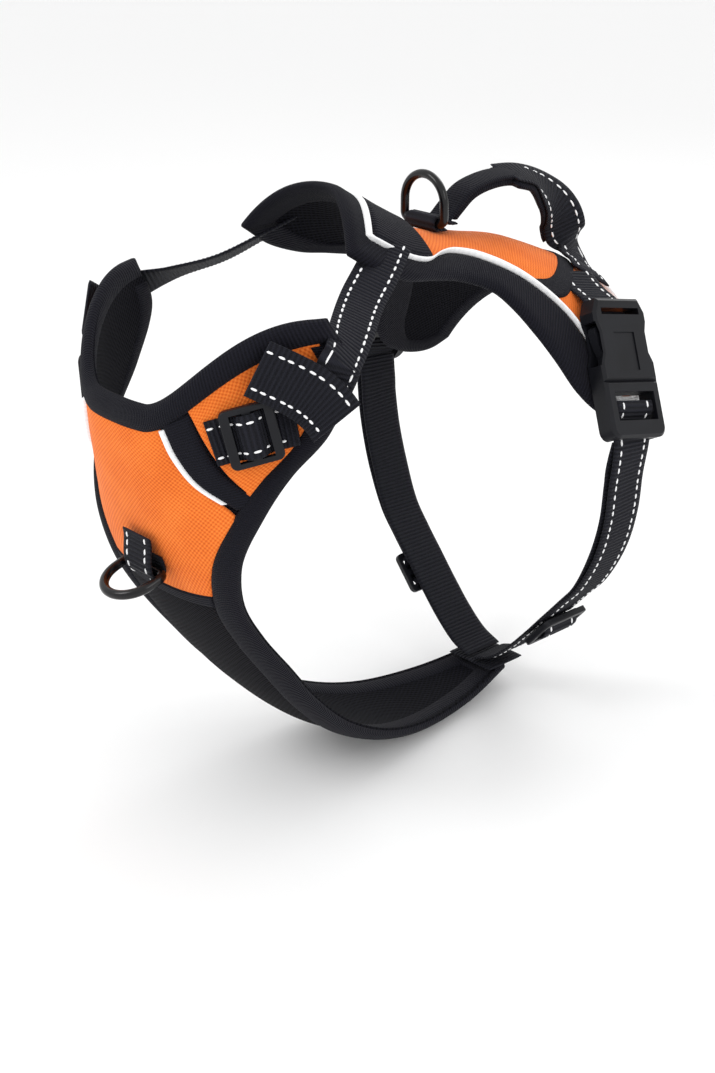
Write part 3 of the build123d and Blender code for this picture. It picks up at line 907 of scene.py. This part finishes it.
def border_spot(s, t):
    """Round the rim of the pad: s once round, t from the cover's edge to the pad's edge."""
    u, v = round_rim(s)
    angle, y = spot(COVER_ROWS, u * 0.985, 0.012 + 0.976 * v)
    outer_angle, outer_y = spot(PAD_ROWS, u, v)
    return (angle + (outer_angle - angle) * t, y + (outer_y - y) * t)


def piping_spot(s, t):
    """Round the edge of the cover: s once round, t across the piping from outside to inside."""
    u, v = round_rim(s)
    angle, y = spot(COVER_ROWS, u, v)
    inner_angle, inner_y = spot(COVER_ROWS, u * 0.9, 0.04 + 0.92 * v)
    away = math.hypot((angle - inner_angle) * PIPING_STRETCH, y - inner_y)
    share = (0.8 - 4.4 * t) / away
    return (angle + (angle - inner_angle) * share, y + (y - inner_y) * share)


def front_band_spot(s, t):
    return ((2 * s - 1) * 0.985, 0.014 + 0.146 * t)


def rear_band_spot(s, t):
    """A shallow V whose point is towards the tail."""
    u = (2 * s - 1) * 0.97
    return (u, 0.815 - 0.36 * (math.hypot(u, CHEVRON_ROUND) - CHEVRON_ROUND) + 0.064 * t)


def back_panels():
    padding = panel("back_padding", pad, lambda s, t: ((2 * t - 1) * 0.97, 0.015 + 0.97 * s),
                    (-0.3, LINING_TOP), LINING, (4, 4), edge=3)
    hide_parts("back_pad")
    panel("back_border_knit", form, border_spot, (-1.2, 4.9), KNIT, (1.8, 1.8), edge=5.0, wrap=True,
          loop=True)

    cloth = panel("back_cover_cloth", cover, lambda s, t: (2 * t - 1, s), (LINING_TOP, CLOTH_TOP), ORANGE,
                  (3, 3), edge=0.8, swell=0.8, relief=cover_creases)
    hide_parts("back_cover")

    tape = panel("back_piping_tape", form, piping_spot, (PIPING_BASE, 6.5), PIPE, (2, 0.8), edge=1.6,
                 loop=True)
    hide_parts("back_piping_left", "back_piping_right", "back_piping_front", "back_piping_rear")

    band = panel("front_band_knit", cover, front_band_spot, (PIPING_BASE, 6.6), KNIT, (1.8, 1.6), edge=3)
    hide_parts("front_cross_band")
    band = panel("rear_band_knit", cover, rear_band_spot, (3.8, 5.7), KNIT, (1.8, 1.4), edge=2.0)
    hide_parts("rear_cross_band")


def cover_creases(along, across):
    """Soft folds across the back cloth behind the ring."""
    return 0.35 * math.sin(along / 9.0 + across / 14.0) * math.sin(along / 31.0)


# ---- shoulder straps ----
ADJUSTER_U = 0.745
ADJUSTER_V = 0.118
STRAP_POINTS = 7
SHOULDER_ROUTE = [
    (32, -133, 148.8, 0.56, -0.3, 0.78), (40, -147.5, 140.6, 0.63, -0.36, 0.7),
    (49.3, -165.6, 131.6, 0.7, -0.42, 0.6), (63, -184.2, 124.9, 0.8, -0.44, 0.42)]
SHOULDER_END = [(0.962, 0.052, 9.6), (0.944, 0.068, 8.4), (0.93, 0.084, 8.2)]


def shoulders():
    route = SHOULDER_ROUTE + [on_surface(chest, u, v, lift) for u, v, lift in SHOULDER_END]
    straps = pair(strap, "shoulder_web", route, NARROW_WEB)
    stands_for([piece[0] for piece in straps], "shoulder_strap")

    shares = [k / (STRAP_POINTS - 1) for k in range(STRAP_POINTS)]
    route = [on_surface(chest, 0.60 + 0.28 * s, ADJUSTER_V, 4.5) for s in shares]
    straps = pair(strap, "chest_web", route, NARROW_WEB)
    stands_for([piece[0] for piece in straps], "chest_strap")

    route = []
    for s in shares:
        lift = 10.4 + 1.4 * math.sin(math.pi * s)
        route.append(on_surface(chest, 0.765 + 0.215 * s, 0.03 + 0.095 * s, lift))
    straps = pair(strap, "keeper_web", route, WIDE_WEB)
    stands_for([piece[0] for piece in straps], "shoulder_keeper")


# ---- handle ----
HANDLE = [
    (0, -64, 150, 0, -0.62, 0.78), (0.5, -54, 157.5, 0.05, -0.45, 0.88), (1, -41, 161, 0.08, -0.2, 0.97),
    (2, -27, 161.5, 0.15, 0.0, 0.98), (4, -13, 158.5, 0.32, 0.0, 0.92), (7, -1.5, 150, 0.58, -0.1, 0.75),
    (9, 7, 139.5, 0.78, -0.25, 0.5), (10, 11.2, 127.5, 0.84, -0.3, 0.35)]
SLEEVE = 15.0            # the folded front half of the handle
HANDLE_FOOT_FRONT = [
    (0, -76.5, 143.0, 0, -0.1, 1), (0, -72, 144.0, 0, -0.35, 0.94), (0, -67.8, 146.8, 0, -0.6, 0.8)]


HANDLE_FOOT_REAR = [(10.7, 12.8, 121.5, 0.78, 0.2, 0.5), (12.6, 13.4, 117.2, 0.62, 0.38, 0.7)]
FOOT_END = [(0.2, 0.865), (0.28, 0.86), (0.37, 0.845)]
FOOT_LIFT = 6.4
FOLD_END = 6             # the route's point where the folded half opens out


def handle():
    foot = HANDLE_FOOT_REAR + [on_surface(cover, u, v, FOOT_LIFT) for u, v in FOOT_END]
    whole = HANDLE_FOOT_FRONT + HANDLE + foot
    soft = {"body": None, "dashes": False, "material": KNIT, "ribs": False}
    web = strap("handle_front_web", whole[:FOLD_END + 2], SLEEVE, (-0.8, 1.2), puff=0.5, **soft)[0]
    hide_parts("handle_webbing", "handle_foot_front")
    grip = strap("handle_front_grip", whole[2:FOLD_END + 2], SLEEVE - 1, (-4.0, -0.6), puff=0.8, **soft)[0]
    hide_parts("handle_lining")
    for piece in (web, grip):
        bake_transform(piece)

    web = strap("handle_rear_web", whole[FOLD_END:], WIDE_WEB, body=None, dashes=False)[0]
    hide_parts("handle_foot_rear")
    thread = stitches("handle_rear_thread", whole[FOLD_END + 1:], WIDE_WEB, WEB, body=None)
    grip = strap("handle_rear_grip", whole[FOLD_END:-len(foot)], WIDE_WEB + 1, (-3.6, -0.2), puff=0.5,
                 **soft)[0]
    for piece in (web, thread, grip):
        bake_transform(piece)


# ---- buckles ----
DOWN = Vector((0.45, -0.2, -0.87)).normalized()
SIDE = (Vector((0, 1, 0)) - DOWN * DOWN.y).normalized()
OUT = DOWN.cross(SIDE)
BUCKLE_BACK = Vector((85, -22, 73)) - OUT * BUCKLE_THICK
BUCKLE_STRAP = [(62, -15.9), (56, -12.2), (50, -7.8), (44, -2.2), (39, 0.9), (35, 1.3)]


def on_buckle(up, lift):
    """A station up the buckle's length and lift above its back face."""
    return station(BUCKLE_BACK - DOWN * up + OUT * lift, OUT)


def buckle_straps():
    route = [on_buckle(up, lift) for up, lift in BUCKLE_STRAP]
    straps = pair(strap, "buckle_web", route, WIDE_WEB, (-WEB / 2, WEB / 2))
    stands_for([piece[0] for piece in straps], "buckle_strap")


# ---- girth straps ----
GIRTH = [
    (87.9, -28.5, 31), (87.5, -28.5, 24), (85.0, -27.5, 4), (79.5, -27, -16), (70.5, -27.5, -37),
    (60.0, -28, -50.2), (49.0, -28, -63.0), (38.0, -28, -75.8), (26.0, -28, -88.6), (14.0, -28, -98.5),
    (2.0, -28, -103.5)]
GIRTH_TOP = [(90.3, -27.8, 46, 0.95, 0, -0.3), (88.9, -28.3, 38, 0.98, 0, -0.15)]
STRAP_END_IN_BUCKLE = [(-9.6, 7.6), (-13.6, 7.4), (-17.4, 4.4), (-21.0, 2.3), (-28.5, 1.9)]
OUTER_LIFT = 1.5         # of the doubled layer above the route of the inner one
OUTER_END = (0, 0, 0, 0, 0.1, -0.6, -0.8)
SLEEVE_HALF = 15
SLEEVE_Z = -105.4


def girth_stations(points, lifts):
    """Stations raised from the points, on the side away from the dog."""
    found = []
    for i, (point, lift) in enumerate(zip(points, lifts)):
        ahead = Vector(points[min(i + 1, len(points) - 1)])
        behind = Vector(points[max(i - 1, 0)])
        tangent = (ahead - behind).normalized()
        out = Vector((0, 1, 0)).cross(tangent) * -1
        found.append(station(Vector(point) + out * lift, out))
    return found


def girths():
    inner = GIRTH_TOP + girth_stations(GIRTH, [0] * len(GIRTH))
    outer = [on_buckle(up, lift) for up, lift in STRAP_END_IN_BUCKLE]
    outer += girth_stations(GIRTH[:4], [OUTER_LIFT] * 4)[1:]
    outer += girth_stations(GIRTH[:8], OUTER_END)[4:]
    for side, sign in (("left", 1), ("right", -1)):
        mirrored = side == "right"
        outside = strap(f"girth_outer_{side}", outer, WIDE_WEB, body=None, mirrored=mirrored)
        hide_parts(f"girth_strap_end_{side}", f"girth_strap_outer_{side}")
        inside = strap(f"girth_inner_{side}", inner, WIDE_WEB, (-WEB, 0), body=None, mirrored=mirrored)
        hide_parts(f"girth_strap_{side}")
        for piece in outside + inside:
            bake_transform(piece)
    route = [(x, -28, SLEEVE_Z, 0, 0, -1) for x in (-SLEEVE_HALF, 0, SLEEVE_HALF)]
    sleeve = strap("belly_sleeve_web", route, WIDE_WEB + 1, (-1.2, 0), dashes=False)[0]
    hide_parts("belly_sleeve")


# ---- the turns of webbing in the adjusters ----
STRAIGHT = Vector((-11, 0, -12.8)).normalized()
GIRTH_ADJUSTER_AT = Vector((46.0, -28, -66.5))
ADJUSTER_LIFT = 6.8
# half of the turn, from its middle: along, up, and the normal's share of each
WRAP_HALF = [(1.4, 3.5, 0.2, 1), (2.9, 2.7, 0.8, 0.6), (4.0, 1.0, 0.8, 0.6), (6.2, -0.9, 0.5, 0.9),
             (8.6, -1.1, 0.3, 1)]
WRAP = [(-x, z, -a, b) for x, z, a, b in reversed(WRAP_HALF)] + WRAP_HALF


def wrap_route(origin, along, out):
    return [station(origin + along * x + out * z, along * a + out * b) for x, z, a, b in WRAP]


def adjuster_turns():
    near = lifted(chest, ADJUSTER_U - 0.01, ADJUSTER_V, ADJUSTER_LIFT)
    far = lifted(chest, ADJUSTER_U + 0.01, ADJUSTER_V, ADJUSTER_LIFT)
    route = wrap_route(lifted(chest, ADJUSTER_U, ADJUSTER_V, ADJUSTER_LIFT), (far - near).normalized(),
                       normal_at(chest, ADJUSTER_U, ADJUSTER_V))
    out = Vector((0, 1, 0)).cross(STRAIGHT) * -1
    girth_route = wrap_route(GIRTH_ADJUSTER_AT + out * (WEB + 1.2), STRAIGHT, out)
    for side in ("left", "right"):
        for name, stations, width in (("shoulder", route, NARROW_WEB), ("girth", girth_route, WIDE_WEB)):
            adjuster = f"{name}_adjuster"
            web = strap(f"{name}_turn_{side}", stations, width - 0.6, (0, 1.3), body=f"{adjuster}_{side}",
                        mirrored=side == "right")[0]
            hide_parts(f"{adjuster}_wrap_{side}")


# ---- hardware kept from the CAD model ----
def finish_hardware():
    """Buckles and adjusters keep their CAD mesh, with plastic and softened edges."""
    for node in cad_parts.values():
        if node.hide_render:
            continue
        node.data.materials.clear()
        node.data.materials.append(PLASTIC)
        for polygon in node.data.polygons:
            polygon.use_smooth = True
        bevel = node.modifiers.new("edges", "BEVEL")
        bevel.width = 0.5 * MM
        bevel.segments = 3
        bevel.limit_method = "ANGLE"
        bevel.angle_limit = math.radians(35)
        bevel.harden_normals = True


bib_lining()
bib_bindings()
chest_cloths()
belly()
back_panels()
rings()
ring_loops()
shoulders()
handle()
buckle_straps()
girths()
adjuster_turns()
finish_hardware()


# ---- floor, lights and camera ----
FLOOR_GAP = 0.003
MIDDLE = Vector((0, -0.12, 0.03))
LIGHTS = [("key", (-0.35, -1.1, 1.0), 0.5, 5), ("side", (1.2, -0.15, 0.7), 0.6, 2.5),
          ("rear", (-0.2, 1.0, 0.9), 0.6, 3)]
CAMERA_TARGET = Vector((0, -0.127, 0.048))
CAMERA_DISTANCE = 0.8
CAMERA_AZIMUTH = math.radians(48)
CAMERA_ELEVATION = math.radians(20)


def floor_and_world():
    bpy.ops.mesh.primitive_plane_add(size=8, location=(0, MIDDLE.y, cad_box[0][2] - FLOOR_GAP))
    floor = bpy.context.object
    floor.name = "floor"
    floor.data.materials.append(new_material("pale_floor", (0.93, 0.93, 0.93), 0.7, specular=0.2)[0])
    bpy.context.scene.view_settings.view_transform = "Standard"
    world = bpy.context.scene.world or bpy.data.worlds.new("world")
    bpy.context.scene.world = world
    world.use_nodes = True
    background = world.node_tree.nodes["Background"]
    background.inputs[0].default_value = (1, 1, 1, 1)
    background.inputs[1].default_value = 1.0


def lights():
    for name, place, size, power in LIGHTS:
        data = bpy.data.lights.new(name, "AREA")
        data.size = size
        data.energy = power
        lamp = bpy.data.objects.new(name, data)
        lamp.location = place
        lamp.rotation_euler = (MIDDLE - Vector(place)).to_track_quat("-Z", "Y").to_euler()
        bpy.context.scene.collection.objects.link(lamp)


def camera():
    data = bpy.data.cameras.new("camera")
    data.sensor_fit = "VERTICAL"
    data.sensor_height = 36
    data.lens = 55.66
    data.shift_x = 0.0051
    data.shift_y = -0.0955
    data.clip_start = 0.01
    flat = math.cos(CAMERA_ELEVATION)
    away = Vector((math.sin(CAMERA_AZIMUTH) * flat, -math.cos(CAMERA_AZIMUTH) * flat,
                   math.sin(CAMERA_ELEVATION)))
    eye = bpy.data.objects.new("camera", data)
    eye.location = CAMERA_TARGET + away * CAMERA_DISTANCE
    eye.rotation_euler = (-away).to_track_quat("-Z", "Y").to_euler()
    bpy.context.scene.collection.objects.link(eye)
    bpy.context.scene.camera = eye


floor_and_world()
lights()
camera()
